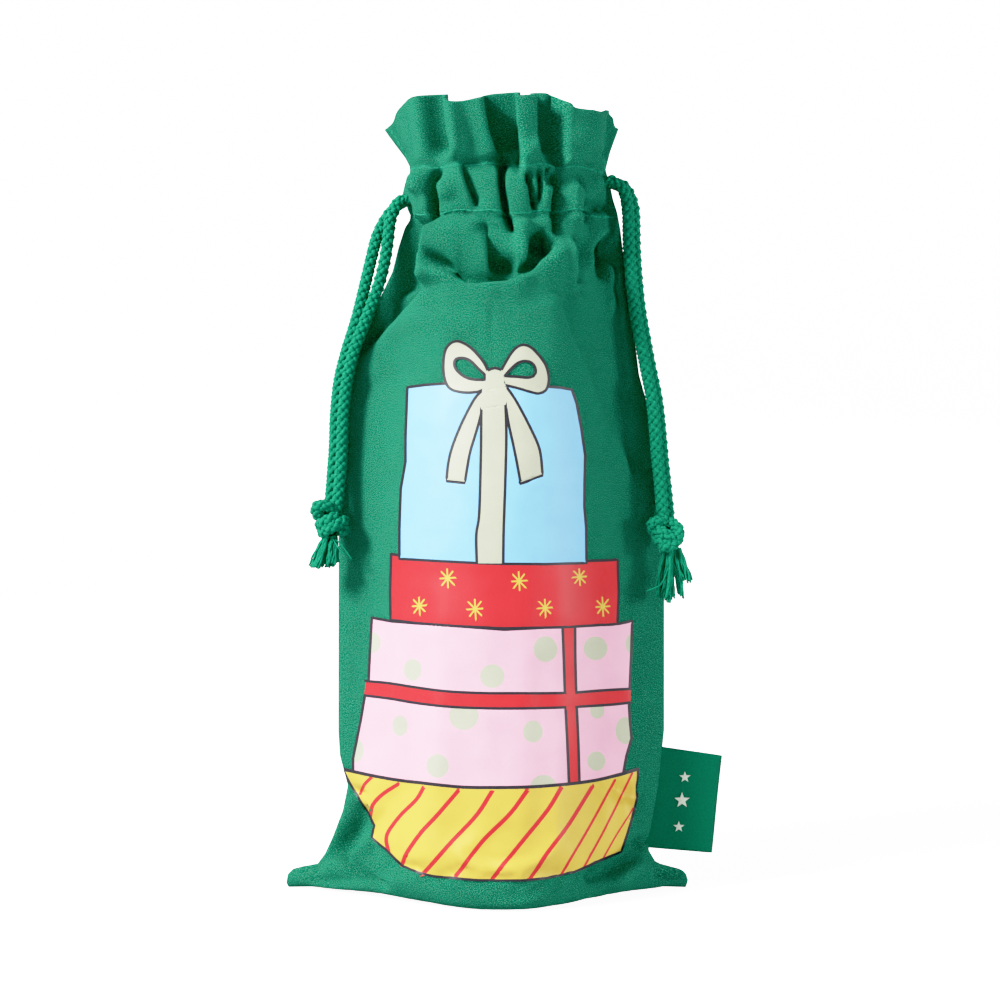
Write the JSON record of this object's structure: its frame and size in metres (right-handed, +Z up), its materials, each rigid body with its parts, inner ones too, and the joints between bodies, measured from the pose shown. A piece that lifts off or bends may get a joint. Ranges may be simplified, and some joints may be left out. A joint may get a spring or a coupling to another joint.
{
  "type": "wine gift bag",
  "caption": "Green cotton drawstring gift bag for a wine bottle, standing filled out, with a gathered collar, braided draw cords, a side tag and a printed stack of presents.",
  "frame": {"origin": "middle of the footprint, on the surface the bag stands on", "axes": "+Z up along the bag, +X to the right seen from the printed front, printed front facing -Y"},
  "size_m": [0.1744, 0.0919, 0.312],
  "materials": {
    "cotton": "matte cotton twill",
    "thread": "spun polyester sewing thread",
    "cord": "soft braided cotton cord",
    "satin": "woven satin ribbon",
    "film_blue": "heat-transfer film, low sheen",
    "film_red": "heat-transfer film, low sheen",
    "film_pink": "heat-transfer film, low sheen",
    "film_yellow": "heat-transfer film, low sheen",
    "film_cream": "heat-transfer film, low sheen"
  },
  "bodies": {
    "bag": {"front_panel": "cotton", "back_panel": "cotton", "left_side_seam": "cotton", "right_side_seam": "cotton", "bottom_seam": "cotton", "left_bottom_corner": "cotton", "right_bottom_corner": "cotton", "front_casing": "cotton", "back_casing": "cotton", "front_casing_facing": "cotton", "back_casing_facing": "cotton", "front_collar": "cotton", "back_collar": "cotton", "front_lower_stitch_row": "thread", "front_upper_stitch_row": "thread", "back_lower_stitch_row": "thread", "back_upper_stitch_row": "thread", "left_cord_loop": "cord", "right_cord_loop": "cord", "print_blue_box": "film_blue", "print_red_box": "film_red", "print_pink_box": "film_pink", "print_yellow_box": "film_yellow", "print_ribbon_bow": "film_cream"},
    "left_drawcord": {"left_front_strand": "cord", "left_back_strand": "cord", "left_knot": "cord", "left_tassel": "cord"},
    "right_drawcord": {"right_front_strand": "cord", "right_back_strand": "cord", "right_knot": "cord", "right_tassel": "cord"},
    "label": {"side_label": "satin"}
  },
  "joints": [
    {"name": "left_drawcord_swing", "type": "hinge", "parent": "bag", "child": "left_drawcord", "pos_m": [-0.04034, 0, 0.27717], "axis": [0, 1, 0], "range_deg": [0, 50]},
    {"name": "right_drawcord_swing", "type": "hinge", "parent": "bag", "child": "right_drawcord", "pos_m": [0.04087, 0, 0.2845], "axis": [0, -1, 0], "range_deg": [0, 50]},
    {"name": "label_flap", "type": "hinge", "parent": "bag", "child": "label", "pos_m": [0.0599, 0, 0.016], "axis": [0.1362, 0, 0.9907], "range_deg": [-80, 80], "stiffness_Nm_per_rad": 0.001}
  ]
}
